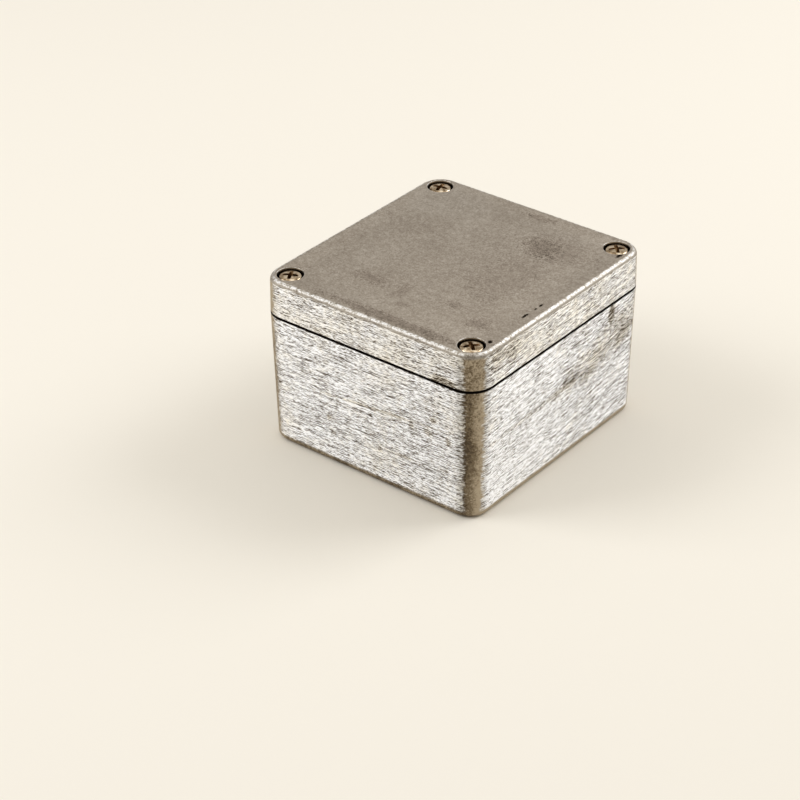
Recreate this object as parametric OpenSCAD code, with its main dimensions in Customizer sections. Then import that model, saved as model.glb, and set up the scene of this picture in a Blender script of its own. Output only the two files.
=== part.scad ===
// Sealed die cast aluminium box: a drafted base casting and a lid casting that meet on a
// tongue and groove with a rubber gasket, held by four captive screws.
// The seal runs inside the four corners, so that the lid screws and the wall fixing holes
// beside them stay out of the sealed space. Millimetres, +Z up. The origin is the centre of
// the bottom face.

/* [Box] */
// Width of the box along X, at the joint
box_x = 75; // [70:0.5:110]
// Length of the box along Y, at the joint
box_y = 80; // [76:0.5:130]
// Height of the closed box
box_h = 52; // [40:0.5:90]
// Height of the lid casting
lid_h = 10.8; // [9.5:0.1:16]
// Radius of the four upright corners, at the joint
corner_r = 7.2; // [6:0.1:9]
// Thickness of the base's floor
floor_t = 3; // [2.5:0.1:5]
// Thickness of the lid's plate
plate_t = 3; // [2.5:0.1:4]

/* [Casting draft and edges] */
// Draft of the base's outer sides, in degrees
base_draft = 1.4; // [0.5:0.1:1.5]
// Draft of the lid's outer sides, in degrees
lid_draft = 1.1; // [0.5:0.1:2]
// Draft of both castings' inner walls, in degrees
core_draft = 0.8; // [0.5:0.1:1]
// Radius of the lid's top edge
top_edge_r = 1.5; // [0.8:0.1:2]
// Radius of the base's bottom edge
bottom_edge_r = 1.8; // [0.8:0.1:2]
// Radius between the base's floor and its inner walls
floor_fillet_r = 1.6; // [0.5:0.1:1.8]
// Radius between the lid's plate and its inner walls
plate_fillet_r = 0.9; // [0.4:0.1:1]

/* [Seal] */
// From the outer face to the middle of the tongue, at the joint
seal_inset = 2.8; // [2.6:0.1:3.5]
// Width of the base's tongue
tongue_w = 1.5; // [1.2:0.1:1.8]
// Height of the tongue above the plane that the lid seats on
tongue_h = 1.6; // [1:0.1:2.2]
// Clearance between the tongue and each side of the lid's groove
groove_play = 0.55; // [0.4:0.05:0.7]
// Thickness of the gasket as squeezed
gasket_t = 2.1; // [1.5:0.1:2.5]
// Clearance between the gasket and each side of the groove
gasket_play = 0.05; // [0.02:0.01:0.1]
// Thickness of the lid's inner lip, beside the groove
lip_t = 1.4; // [1.2:0.1:1.6]
// How far the inner lip ends above the plane that the lid seats on
lip_rise = 0.3; // [0.1:0.1:0.6]
// Radius of the seal's outer bends, at the middle of the tongue
bend_out_r = 4; // [3.9:0.1:4.2]
// Radius of the seal's inner bends, round the corner pillars
bend_in_r = 3; // [2.4:0.1:3.2]
// Gap between the two castings' outer rims
joint_gap = 0.4; // [0.2:0.05:0.6]

/* [Wall fixing] */
// Distance between wall fixing holes along X
fixing_x = 63; // [58:0.5:64]
// Distance between wall fixing holes along Y
fixing_y = 52; // [48:0.5:53]
// Diameter of each fixing hole, for an M4 screw
fixing_d = 4.5; // [4.3:0.1:5]
// Diameter of the pocket that takes the fixing screw's head
pocket_d = 7.5; // [7.2:0.1:7.6]
// Thickness of metal under the fixing screw's head
fixing_seat_t = 6; // [4:0.5:12]
// Thinnest metal between a pocket and the tongue
pocket_land = 1.1; // [1:0.1:1.5]
// Chamfer at the fixing hole's mouth in the bottom face
fixing_chamfer = 0.4; // [0.1:0.1:0.8]
// Diameter of the hollow in the lid above each pocket
lid_core_d = 6.8; // [5:0.1:7.2]
// Depth of the hollow in the lid above each pocket
lid_core_h = 4.8; // [3:0.1:5.2]

/* [Lid screws] */
// From each outer face to the screw's axis, at the joint
screw_inset = 6.25; // [6:0.05:6.4]
// Outer diameter of the screw's thread, M4
thread_d = 4; // [3.9:0.05:4.1]
// Length of the screw's thread
thread_len = 6; // [5:0.1:6.5]
// Length of the screw under its head
screw_len = 15; // [14.6:0.1:15.4]
// Diameter of the thin shank that keeps the screw captive
waist_d = 2.9; // [2.5:0.1:3]
// Diameter of the head
head_d = 6.6; // [6:0.1:6.8]
// Height of the head
head_h = 2.8; // [2.4:0.1:3]
// Radius of the head's upper edge
head_edge_r = 0.7; // [0.5:0.1:1]
// Radius of the head's crown
head_crown_r = 11; // [8:0.5:14]
// How far the crown lies below the lid's top face
head_sunk = 0.1; // [0.1:0.1:0.6]
// Clearance between the head and the wall of its recess
head_play = 0.5; // [0.3:0.05:0.6]
// Bevel at the mouth of the head's recess
recess_bevel = 0.25; // [0.1:0.05:0.4]
// Diameter of the lid's threaded stretch, at its crests
lid_thread_d = 3.3; // [3.2:0.05:3.5]
// Length of the lid's threaded stretch
lid_thread_len = 2.5; // [1.5:0.1:3]
// Clearance round the thread in the lid's plain stretch
thread_play = 0.3; // [0.2:0.05:0.4]
// Running clearance between the thread and the base's hole
tapped_play = 0.05; // [0.03:0.01:0.08]
// Depth of the base's tapped hole
tapped_depth = 11; // [8:0.5:14]
// Depth of the plain mouth of the base's tapped hole
mouth_depth = 1; // [0.5:0.1:1.2]
// Clearance round the thread in that mouth
mouth_play = 0.35; // [0.2:0.05:0.4]
// Diameter of the raised seat round the base's tapped hole
seat_d = 7.4; // [6.6:0.1:7.5]

/* [Cross recess in the head] */
// Span of the cross recess at the crown
cross_span = 4.2; // [3.6:0.1:4.4]
// Width of each wing of the cross recess
cross_wing = 0.95; // [0.7:0.05:1.1]
// Depth of the cross recess
cross_depth = 1.9; // [1.4:0.1:2]
// Span of the cross recess at its bottom
cross_tip = 1.5; // [1:0.1:2]
// Turn of the cross recess
cross_turn = 45; // [0:5:90]

/* [Board bosses] */
// Distance between board bosses along X
boss_x = 36; // [24:0.5:38]
// Distance between board bosses along Y
boss_y = 60; // [40:0.5:61]
// Height of a boss above the floor
boss_h = 5; // [3:0.5:12]
// Diameter of a boss at its top
boss_d = 6.4; // [5.6:0.1:7]
// Draft of a boss, in degrees
boss_draft = 1.5; // [0.5:0.5:3]
// Width and height of the flare at the foot of a boss
boss_flare = 0.8; // [0.3:0.1:1.2]
// Diameter of the tapped hole in a boss, at its crests, M3
boss_hole_d = 2.5; // [2.4:0.05:2.6]
// Depth of the tapped hole in a boss
boss_hole_depth = 5.5; // [3:0.5:6]

/* [Ejector marks] */
// Diameter of the round marks that the ejector pins leave inside
pin_mark_d = 6; // [4:0.5:7]
// Depth of those marks
pin_mark_depth = 0.2; // [0.1:0.05:0.3]
// Distance between the middle of the floor and its marks along X
pin_mark_x = 13; // [8:0.5:14]
// Distance between the middle of the floor and its marks along Y
pin_mark_y = 14; // [8:0.5:18]

/* [Hidden] */

// Curves: facets of a lofted quarter bend, steps of a lofted edge, and true circles
OUTER_STEPS = 10;
BEND_STEPS = 6;
EDGE_STEPS = 4;
FILLET_STEPS = 3;
$fn = 48;

// How far a cut runs past the face that it opens
PAST = 1;
half_x = box_x / 2;
half_y = box_y / 2;

// Heights
seat_z = box_h - lid_h;
rim_z = seat_z - joint_gap;
tongue_top_z = seat_z + tongue_h;
groove_top_z = tongue_top_z + gasket_t;
plate_z = box_h - plate_t;
lip_z = seat_z + lip_rise;
head_seat_z = box_h - head_sunk - head_h;
lid_thread_z = head_seat_z - lid_thread_len;
screw_tip_z = head_seat_z - screw_len;
thread_top_z = screw_tip_z + thread_len;
boss_top_z = floor_t + boss_h;

// Places of the lid screws and of the wall fixing holes
screw_pos_x = half_x - screw_inset;
screw_pos_y = half_y - screw_inset;
fixing_pos_x = fixing_x / 2;
fixing_pos_y = fixing_y / 2;

// The seal's middle line is a cross with rounded bends: a long arm that reaches along Y between
// the corner pillars, and a wide arm that reaches along X between them.
pillar_land = pocket_d / 2 + pocket_land + tongue_w / 2;
arm_long_x = fixing_pos_x - pillar_land;
arm_long_y = half_y - seal_inset;
arm_wide_x = half_x - seal_inset;
arm_wide_y = fixing_pos_y - pillar_land;
groove_half = tongue_w / 2 + groove_play;
gasket_half = groove_half - gasket_play;

// Radii
head_recess_r = head_d / 2 + head_play;
tapped_r = thread_d / 2 + tapped_play;

DIE_CAST = [0.62, 0.61, 0.58];
LINISHED = [0.74, 0.73, 0.71];
RUBBER = [0.12, 0.12, 0.12];
STAINLESS = [0.72, 0.69, 0.64];

// ---------------------------------------------------------------- outlines and lofts

// Points of an arc about [x, y], from angle a to angle b
function arc(x, y, r, a, b, steps) =
    [for (i = [0:steps]) let (t = a + (b - a) * i / steps) [x + r * cos(t), y + r * sin(t)]];

function flipped(points) = [for (i = [len(points) - 1:-1:0]) points[i]];
function scaled(points, sx, sy) = [for (p = points) [p[0] * sx, p[1] * sy]];

// A closed outline from its first quadrant, which runs anticlockwise from +X to +Y
function four_quadrants(q) =
    concat(q, flipped(scaled(q, -1, 1)), scaled(q, -1, -1), flipped(scaled(q, 1, -1)));

// The box's plan, drawn in by an inset
function box_outline(inset) =
    four_quadrants(arc(half_x - corner_r, half_y - corner_r, corner_r - inset, 0, 90,
                       OUTER_STEPS));

// The seal's middle line, grown outwards by d (drawn in where d is negative)
function seal_outline(d) =
    four_quadrants(concat(
        arc(arm_wide_x - bend_out_r, arm_wide_y - bend_out_r, bend_out_r + d, 0, 90, BEND_STEPS),
        arc(arm_long_x + bend_in_r, arm_wide_y + bend_in_r, bend_in_r - d, 270, 180, BEND_STEPS),
        arc(arm_long_x - bend_out_r, arm_long_y - bend_out_r, bend_out_r + d, 0, 90,
            BEND_STEPS)));

// A solid through outlines of equal length. Each level is [height, outline], lowest first.
module loft(levels) {
    n = len(levels[0][1]);
    last = (len(levels) - 1) * n;
    points = [for (level = levels) for (p = level[1]) [p[0], p[1], level[0]]];
    sides = [for (k = [0:n:last - n]) for (i = [0:n - 1]) let (j = (i + 1) % n)
        [k + i, k + n + i, k + n + j, k + j]];
    polyhedron(points, concat([[for (i = [0:n - 1]) i]], sides,
                              [[for (i = [n - 1:-1:0]) last + i]]));
}

// The same outlines as exact flat shapes, for what is milled or pressed to a true profile
module rounded_rectangle(hx, hy, r) {
    square([2 * (hx - r), 2 * hy], center = true);
    square([2 * hx, 2 * (hy - r)], center = true);
    for (sx = [-1, 1], sy = [-1, 1])
        translate([sx * (hx - r), sy * (hy - r)])
            circle(r);
}

module seal_shape(d) {
    inner_r = bend_in_r - d;
    rounded_rectangle(arm_long_x + d, arm_long_y + d, bend_out_r + d);
    rounded_rectangle(arm_wide_x + d, arm_wide_y + d, bend_out_r + d);
    for (mx = [0, 1], my = [0, 1])
        mirror([mx, 0])
            mirror([0, my])
                difference() {
                    translate([arm_long_x - bend_out_r, arm_wide_y - bend_out_r])
                        square([bend_out_r + bend_in_r, bend_out_r + bend_in_r]);
                    translate([arm_long_x + bend_in_r, arm_wide_y + bend_in_r])
                        circle(inner_r);
                }
}

// A closed band that follows the seal, from d = -half to d = half
module seal_band(half) {
    difference() {
        seal_shape(half);
        seal_shape(-half);
    }
}

// What is repeated at the four corners, at [x, y] in each quadrant
module each_corner(x, y) {
    for (sx = [-1, 1], sy = [-1, 1])
        translate([sx * x, sy * y, 0])
            children();
}

// ---------------------------------------------------------------- base casting

// Inset of the base's outer side at height z
function base_inset(z) = (rim_z - z) * tan(base_draft);

module base_outside() {
    loft(concat(
        [for (i = [0:EDGE_STEPS]) let (t = 90 * i / EDGE_STEPS,
                                       z = bottom_edge_r * (1 - cos(t)))
            [z, box_outline(base_inset(z) + bottom_edge_r * (1 - sin(t)))]],
        [[rim_z, box_outline(0)], [tongue_top_z, box_outline(0)]]));
}

// The sealed space, cut out of the base: its wall is also the tongue's inner face
module base_cavity() {
    function wall(z) = -tongue_w / 2 - (tongue_top_z - z) * tan(core_draft);
    loft(concat(
        [for (i = [0:FILLET_STEPS]) let (t = 90 * i / FILLET_STEPS,
                                         z = floor_t + floor_fillet_r * (1 - cos(t)))
            [z, seal_outline(wall(z) - floor_fillet_r * (1 - sin(t)))]],
        [[tongue_top_z, seal_outline(wall(tongue_top_z))],
         [tongue_top_z + PAST, seal_outline(wall(tongue_top_z))]]));
}

// What is milled off the rim round the tongue, leaving a seat round each tapped hole
module rim_cut() {
    height = tongue_top_z - rim_z + PAST;
    translate([0, 0, rim_z])
        linear_extrude(height)
            difference() {
                square([box_x + 2 * PAST, box_y + 2 * PAST], center = true);
                seal_shape(tongue_w / 2);
                each_corner(screw_pos_x, screw_pos_y)
                    circle(seat_d / 2);
            }
    each_corner(screw_pos_x, screw_pos_y)
        translate([0, 0, seat_z])
            cylinder(h = height, d = seat_d + 2 * joint_gap);
}

module tapped_hole() {
    translate([0, 0, seat_z - tapped_depth])
        cylinder(h = tapped_depth + PAST, r = tapped_r);
    translate([0, 0, seat_z - mouth_depth])
        cylinder(h = mouth_depth + PAST, r = thread_d / 2 + mouth_play);
}

module fixing_hole() {
    translate([0, 0, -PAST])
        cylinder(h = fixing_seat_t + 2 * PAST, d = fixing_d);
    translate([0, 0, -PAST])
        cylinder(h = fixing_chamfer + PAST, d1 = fixing_d + 2 * (fixing_chamfer + PAST),
                 d2 = fixing_d);
    translate([0, 0, fixing_seat_t])
        cylinder(h = tongue_top_z, d = pocket_d);
}

module board_boss() {
    foot_r = boss_d / 2 + boss_h * tan(boss_draft);
    translate([0, 0, floor_t - PAST])
        cylinder(h = PAST, r = foot_r);
    translate([0, 0, floor_t])
        cylinder(h = boss_h, r1 = foot_r, r2 = boss_d / 2);
    translate([0, 0, floor_t])
        cylinder(h = boss_flare, r1 = foot_r + boss_flare, r2 = foot_r);
}

module base_casting() {
    color(LINISHED)
        difference() {
            union() {
                difference() {
                    base_outside();
                    base_cavity();
                }
                each_corner(boss_x / 2, boss_y / 2)
                    board_boss();
            }
            rim_cut();
            each_corner(screw_pos_x, screw_pos_y)
                tapped_hole();
            each_corner(fixing_pos_x, fixing_pos_y)
                fixing_hole();
            each_corner(boss_x / 2, boss_y / 2)
                translate([0, 0, boss_top_z - boss_hole_depth])
                    cylinder(h = boss_hole_depth + PAST, d = boss_hole_d);
            each_corner(pin_mark_x, pin_mark_y)
                translate([0, 0, floor_t - pin_mark_depth])
                    cylinder(h = pin_mark_depth + PAST, d = pin_mark_d);
        }
}

// ---------------------------------------------------------------- lid casting

// Inset of the lid's outer side at height z
function lid_inset(z) = (z - seat_z) * tan(lid_draft);

module lid_outside() {
    loft(concat(
        [[seat_z, box_outline(0)]],
        [for (i = [0:EDGE_STEPS]) let (t = 90 * i / EDGE_STEPS,
                                       z = box_h - top_edge_r * (1 - sin(t)))
            [z, box_outline(lid_inset(z) + top_edge_r * (1 - cos(t)))]]));
}

// The lid's hollow above the sealed space, inside its inner lip
module lid_hollow() {
    function wall(z) = -groove_half - lip_t - (z - seat_z) * tan(core_draft);
    loft(concat(
        [[seat_z - PAST, seal_outline(wall(seat_z))], [seat_z, seal_outline(wall(seat_z))]],
        [for (i = [0:FILLET_STEPS]) let (t = 90 * i / FILLET_STEPS,
                                         z = plate_z - plate_fillet_r * (1 - sin(t)))
            [z, seal_outline(wall(z) - plate_fillet_r * (1 - cos(t)))]]));
}

module lid_groove() {
    translate([0, 0, seat_z - PAST])
        linear_extrude(groove_top_z - seat_z + PAST)
            seal_band(groove_half);
    translate([0, 0, seat_z - PAST])
        linear_extrude(lip_rise + PAST)
            seal_shape(0);
}

module screw_way() {
    translate([0, 0, seat_z - PAST])
        cylinder(h = lid_thread_z - seat_z + PAST, r = thread_d / 2 + thread_play);
    translate([0, 0, lid_thread_z - PAST])
        cylinder(h = lid_thread_len + 2 * PAST, d = lid_thread_d);
    translate([0, 0, head_seat_z])
        cylinder(h = box_h - head_seat_z + PAST, r = head_recess_r);
    translate([0, 0, box_h - recess_bevel])
        cylinder(h = recess_bevel + PAST, r1 = head_recess_r,
                 r2 = head_recess_r + recess_bevel + PAST);
}

module lid_casting() {
    color(DIE_CAST)
        difference() {
            lid_outside();
            lid_hollow();
            lid_groove();
            each_corner(screw_pos_x, screw_pos_y)
                screw_way();
            each_corner(fixing_pos_x, fixing_pos_y)
                translate([0, 0, seat_z - PAST])
                    cylinder(h = lid_core_h + PAST, d = lid_core_d);
            each_corner(pin_mark_x, pin_mark_y)
                translate([0, 0, plate_z - PAST])
                    cylinder(h = pin_mark_depth + PAST, d = pin_mark_d);
        }
}

// ---------------------------------------------------------------- gasket

module lid_gasket() {
    color(RUBBER)
        translate([0, 0, tongue_top_z])
            linear_extrude(gasket_t)
                seal_band(gasket_half);
}

// ---------------------------------------------------------------- captive lid screws

// Half of the head's profile: an upright side, a round edge and a crown that run on smoothly
module head_profile() {
    edge_x = head_d / 2 - head_edge_r;
    reach = head_crown_r - head_edge_r;
    crown_z = head_h - head_crown_r;
    edge_z = crown_z + sqrt(reach * reach - edge_x * edge_x);
    crown_x = edge_x * head_crown_r / reach;
    square([head_d / 2, edge_z]);
    translate([edge_x, edge_z])
        circle(head_edge_r);
    intersection() {
        translate([0, crown_z])
            circle(head_crown_r, $fn = 4 * $fn);
        square([crown_x, head_h]);
    }
}

// The cross recess: four wings that taper to a small tip
module cross_recess() {
    intersection() {
        translate([0, 0, head_h - cross_depth])
            cylinder(h = cross_depth + PAST,
                     d1 = cross_tip,
                     d2 = cross_span + PAST * (cross_span - cross_tip) / cross_depth);
        rotate([0, 0, cross_turn])
            union() {
                for (a = [0, 90])
                    rotate([0, 0, a])
                        translate([-cross_span, -cross_wing / 2, 0])
                            cube([2 * cross_span, cross_wing, head_h + PAST]);
            }
    }
}

// The screw as a turned part: tip, thread at its outer diameter, waist and head
module lid_screw() {
    tip = (thread_d - waist_d) / 2;
    color(STAINLESS)
        translate([0, 0, head_seat_z])
            difference() {
                union() {
                    rotate_extrude()
                        intersection() {
                            head_profile();
                            square([head_d, head_h + PAST]);
                        }
                    translate([0, 0, thread_len - screw_len])
                        cylinder(h = screw_len - thread_len + PAST, d = waist_d);
                    translate([0, 0, tip - screw_len])
                        cylinder(h = thread_len - 2 * tip, d = thread_d);
                    translate([0, 0, -screw_len])
                        cylinder(h = tip, d1 = waist_d, d2 = thread_d);
                    translate([0, 0, thread_len - tip - screw_len])
                        cylinder(h = tip, d1 = thread_d, d2 = waist_d);
                }
                cross_recess();
            }
}

module lid_screw_at(sx, sy) {
    translate([sx * screw_pos_x, sy * screw_pos_y, 0])
        lid_screw();
}

module lid_screw_front_left() { lid_screw_at(-1, -1); }
module lid_screw_front_right() { lid_screw_at(1, -1); }
module lid_screw_back_right() { lid_screw_at(1, 1); }
module lid_screw_back_left() { lid_screw_at(-1, 1); }

base_casting();
lid_casting();
lid_gasket();
lid_screw_front_left();
lid_screw_front_right();
lid_screw_back_right();
lid_screw_back_left();
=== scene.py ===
"""A small sealed die cast aluminium box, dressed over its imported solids.

Two drafted castings meet on a tongue and groove with a rubber gasket and are held by four
captive screws with a cross recess. Every class holds its sizes in millimetres and builds one
closed piece from surfaces worked out as whole arrays. The origin is the centre of the bottom
face, +Z is up and +Y runs along the longer side.
"""

import logging
import math
from dataclasses import dataclass
from enum import IntEnum
from functools import partial
from typing import Callable

import bmesh
import bpy
import numpy as np
from mathutils import Matrix, Vector, geometry


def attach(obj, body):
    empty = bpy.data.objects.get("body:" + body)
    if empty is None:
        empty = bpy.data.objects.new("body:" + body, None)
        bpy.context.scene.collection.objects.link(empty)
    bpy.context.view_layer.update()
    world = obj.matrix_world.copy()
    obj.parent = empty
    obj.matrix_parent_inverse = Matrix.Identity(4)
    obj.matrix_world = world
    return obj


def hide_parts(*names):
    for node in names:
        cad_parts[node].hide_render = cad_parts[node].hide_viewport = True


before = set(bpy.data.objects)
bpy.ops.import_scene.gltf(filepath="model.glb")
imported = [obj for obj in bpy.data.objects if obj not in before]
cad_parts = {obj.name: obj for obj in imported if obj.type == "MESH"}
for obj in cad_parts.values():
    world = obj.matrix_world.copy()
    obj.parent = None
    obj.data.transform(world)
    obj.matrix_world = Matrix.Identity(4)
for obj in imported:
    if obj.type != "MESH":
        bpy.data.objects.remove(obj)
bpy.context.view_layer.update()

MM = 0.001
MERGE = 1e-6  # metres within which two points are one
CREASE = math.radians(34)  # edges turned more than this stay crisp
ROUND_STEPS = 56  # columns round a hole or a boss
log = logging.getLogger("die_cast_box")

Array = np.ndarray
Place = tuple[float, float]
Stops = tuple[tuple[float, str], ...]  # a colour ramp's places and hex colours
Socket = bpy.types.NodeSocket
Adder = Callable[..., Socket]  # the add function, bound to one material's nodes
Dressing = tuple[dict[str, object], Socket]  # the shader's inputs, and the relief


# ---------------------------------------------------------------- surfaces


@dataclass(frozen=True)
class Patch:
    """Part of a piece's surface: points in millimetres, faces by point number, and a finish."""

    points: Array
    faces: list[list[int]]
    finish: int
    smooth: bool = True


def grid(points: Array, finish: int) -> Patch:
    """Faces over rows of points, each joined to its neighbours, the last column to the first.

    Args:
        points: rows by columns by three, in millimetres.
        finish: number of the finish in its piece's list.

    Returns:
        The patch of four-sided faces.
    """
    rows, columns = points.shape[:2]
    near = np.arange(rows * columns).reshape(rows, columns)
    far = np.roll(near, -1, axis=1)
    faces = np.stack([near[:-1], far[:-1], far[1:], near[1:]], axis=-1)
    return Patch(points.reshape(-1, 3), faces.reshape(-1, 4).tolist(), finish)


def inside(points: Array, ring: Array) -> Array:
    """Which points a closed ring holds, from how many of its sides each one's +X ray crosses.

    Args:
        points: flat points, one row each.
        ring: the ring's corners in order.

    Returns:
        One truth value a point.
    """
    x, y = points[:, :1], points[:, 1:]
    a, b = ring, np.roll(ring, -1, axis=0)
    spans = (a[:, 1] > y) != (b[:, 1] > y)
    rise = np.where(a[:, 1] == b[:, 1], 1.0, b[:, 1] - a[:, 1])
    crossing = a[:, 0] + (y - a[:, 1]) * (b[:, 0] - a[:, 0]) / rise
    return (spans & (x < crossing)).sum(axis=1) % 2 == 1


def flat(height: float, outer: Array, holes: list[Array], finish: int) -> Patch:
    """A flat face with holes, as the Delaunay triangles that keep to its rings.

    Args:
        height: z of the face.
        outer: its outer ring.
        holes: the rings of its holes.
        finish: number of the finish in its piece's list.

    Returns:
        The patch, which is shaded flat.
    """
    rings = [outer, *holes]
    points = np.vstack(rings)
    starts = np.cumsum([0] + [len(ring) for ring in rings[:-1]])
    edges = [
        (int(start + i), int(start + (i + 1) % len(ring)))
        for start, ring in zip(starts, rings)
        for i in range(len(ring))
    ]
    found = geometry.delaunay_2d_cdt([Vector(p) for p in points.tolist()], edges, [], 0, 1e-6)
    source = np.array([origin[0] for origin in found[3]])
    triangles = source[np.array(found[2])]
    middles = points[triangles].mean(axis=1)
    kept = inside(middles, outer)
    for hole in holes:
        kept &= ~inside(middles, hole)
    raised = np.column_stack([points, np.full(len(points), height)])
    return Patch(raised, triangles[kept].tolist(), finish, smooth=False)


def circle(centre: Place, radius: float) -> Array:
    """Points of a circle, anticlockwise from +X."""
    turn = np.arange(ROUND_STEPS) * (2 * np.pi / ROUND_STEPS)
    return np.asarray(centre) + radius * np.column_stack([np.cos(turn), np.sin(turn)])


def turned(centre: Place, radius: Array, height: Array, finish: int) -> Patch:
    """A turned surface: every row goes once round an upright axis, at its radius and height.

    Args:
        centre: where the axis stands.
        radius: one a row, or one a row and column where the surface isn't round.
        height: z, in the same way.
        finish: number of the finish in its piece's list.

    Returns:
        The patch.
    """
    steps = ROUND_STEPS if radius.ndim == 1 else radius.shape[1]
    turn = np.arange(steps) * (2 * np.pi / steps)
    reach, level = (
        np.broadcast_to(part.reshape(len(part), -1), (len(part), steps))
        for part in (radius, height)
    )
    x, y = centre[0] + reach * np.cos(turn), centre[1] + reach * np.sin(turn)
    return grid(np.stack([x, y, level], axis=-1), finish)


def bend(centre: Place, radius: float, start: float, end: float, steps: int) -> Array:
    """Points of a profile's arc about a centre, between two angles in degrees."""
    turn = np.radians(np.linspace(start, end, steps + 1))
    return np.asarray(centre) + radius * np.column_stack([np.cos(turn), np.sin(turn)])


def profile(*parts: object) -> Array:
    """One profile from points and arcs in order, each a pair or an array of pairs."""
    return np.vstack([np.atleast_2d(np.asarray(part, dtype=float)) for part in parts])


def quarter_angles(steps: int) -> Array:
    """Angles of an edge's fillet in radians, with one extra near its end to keep flats flat."""
    return np.radians(np.append(np.linspace(0, 90, steps + 1)[:-1], [89.0, 90.0]))


@dataclass(frozen=True)
class Draft:
    """A drafted wall: the offset that it starts from at a height, and its lean in degrees."""

    start: float
    from_z: float
    degrees: float

    def at(self, z: Array) -> Array:
        """Offset at a height: the start, less the rise times the draft's tangent."""
        return self.start - np.abs(z - self.from_z) * math.tan(math.radians(self.degrees))

    def rows(self, first: float, last: float, count: int) -> Array:
        """Points of the wall's profile from one height to another."""
        z = np.linspace(first, last, count)
        return np.column_stack([self.at(z), z])

    def fillet(self, flat_z: float, radius: float, rise: Array, run: Array) -> Array:
        """The fillet between the wall and a flat face.

        Each point lies the radius times one less its rise away from the flat face, and in from
        the wall by the radius times one less its run.

        Args:
            flat_z: height of the flat face.
            radius: of the fillet, negative where the wall stands below the flat face.
            rise: cosine of each point's angle from the flat face.
            run: sine of the same angle.

        Returns:
            Rows of offset and height.
        """
        z = flat_z + radius * (1 - rise)
        return np.column_stack([self.at(z) - abs(radius) * (1 - run), z])

    def foot(self, flat_z: float, radius: float) -> float:
        """Offset where a fillet of this radius meets a flat face at this height."""
        return float(self.at(np.array(flat_z))) - radius


@dataclass(frozen=True)
class Rail:
    """A closed plan outline: its points, and the way each one moves as the outline grows."""

    points: Array
    growth: Array

    def ring(self, offset: float) -> Array:
        """The outline grown by an offset: each point moves along its own growth."""
        return self.points + offset * self.growth

    def sweep(self, shape: Array, finish: int) -> Patch:
        """The surface that a profile of offset and height leaves as it is carried round.

        Args:
            shape: rows of offset and height.
            finish: number of the finish in its piece's list.

        Returns:
            The patch, with one row of points for each row of the profile.
        """
        plan = self.points + shape[:, :1, None] * self.growth
        level = np.broadcast_to(shape[:, 1, None, None], (*plan.shape[:2], 1))
        return grid(np.concatenate([plan, level], axis=-1), finish)


def corner(
    centre: Place, radius: float, start: float, end: float, steps: int, run: float
) -> tuple[Array, Array]:
    """An outline's rounded corner, with a point a short run before and after it.

    An arc that turns anticlockwise bulges outwards and grows with the outline; one that turns
    clockwise is hollow and shrinks.

    Args:
        centre: of the arc.
        radius: of the arc.
        start: first angle in degrees.
        end: last angle in degrees.
        steps: number of chords.
        run: length of the straight runs at both ends.

    Returns:
        The points and their growth.
    """
    turn = np.radians(np.linspace(start, end, steps + 1))
    out = np.column_stack([np.cos(turn), np.sin(turn)])
    way = math.copysign(1.0, end - start)
    onward = way * np.column_stack([-out[:, 1], out[:, 0]])
    arc = np.asarray(centre) + radius * out
    points = np.vstack([arc[0] - run * onward[0], arc, arc[-1] + run * onward[-1]])
    return points, way * np.vstack([out[0], out, out[-1]])


def mirrored_rail(corners: list[tuple[Array, Array]]) -> Rail:
    """A rail from its first quadrant, mirrored into the other three, anticlockwise.

    Args:
        corners: each corner's points and growth, in order.

    Returns:
        The closed rail.
    """
    first = [np.vstack(part) for part in zip(*corners)]
    back = [part[::-1] for part in first]
    return Rail(*(
        np.vstack([a, b * (-1, 1), a * (-1, -1), b * (1, -1)]) for a, b in zip(first, back)
    ))


@dataclass(frozen=True)
class Thread:
    """A screw thread's ridge: how far it stands above its minor radius, and its pitch."""

    minor: float
    depth: float
    pitch: float
    flats: float = 0.15  # share of a half pitch that is flat at the root, and at the crest
    clear: float = 0.05  # room between the ridge and a hole's countersink

    def radius(self, height: Array, steps: int, fade: Array) -> Array:
        """Radius over a turned surface: the minor radius plus the depth times a trapezoid wave.

        The wave's phase is height over pitch less the share of a turn, so that the ridge climbs
        one pitch a turn.

        Args:
            height: z of each row.
            steps: columns round the axis.
            fade: how much of the ridge is left in each row, from 0 to 1.

        Returns:
            Rows by columns of radii.
        """
        phase = height[:, None] / self.pitch - np.arange(steps) / steps
        wave = np.abs(phase % 1.0 - 0.5) * 2
        ridge = np.clip((wave - self.flats) / (1 - 2 * self.flats), 0, 1)
        return self.minor + self.depth * fade[:, None] * ridge

    def mouth(self) -> float:
        """Radius just clear of the ridge, where a tapped hole's countersink ends."""
        return self.minor + self.depth + self.clear

    def rows(self, high: float, low: float, per_turn: int = 9) -> Array:
        """Heights from high down to low, close enough together to draw the ridge."""
        return np.linspace(high, low, int(per_turn * (high - low) / self.pitch) + 1)

    def bore(
        self, mouth_r: float, high: float, low: float, below: Array, blind: bool
    ) -> tuple[Array, Array]:
        """A tapped hole from its mouth down: the ridge, or a cone from the mouth if wider.

        Args:
            mouth_r: radius at the mouth.
            high: z of the mouth.
            low: z of the ridge's end.
            below: profile of what follows, as rows of radius and height.
            blind: whether the ridge fades out over its last turn.

        Returns:
            Rows by columns of radii, and the rows' heights.
        """
        rows = self.rows(high, low)
        fade = np.clip((rows - rows[-1]) / self.pitch, 0, 1) if blind else np.ones(len(rows))
        cone = mouth_r - (rows[0] - rows)
        ridge = np.maximum(self.radius(rows, ROUND_STEPS, fade), cone[:, None])
        plain = np.broadcast_to(below[:, :1], (len(below), ROUND_STEPS))
        return np.vstack([ridge, plain]), np.append(rows, below[:, 1])


# ---------------------------------------------------------------- pieces


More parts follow.
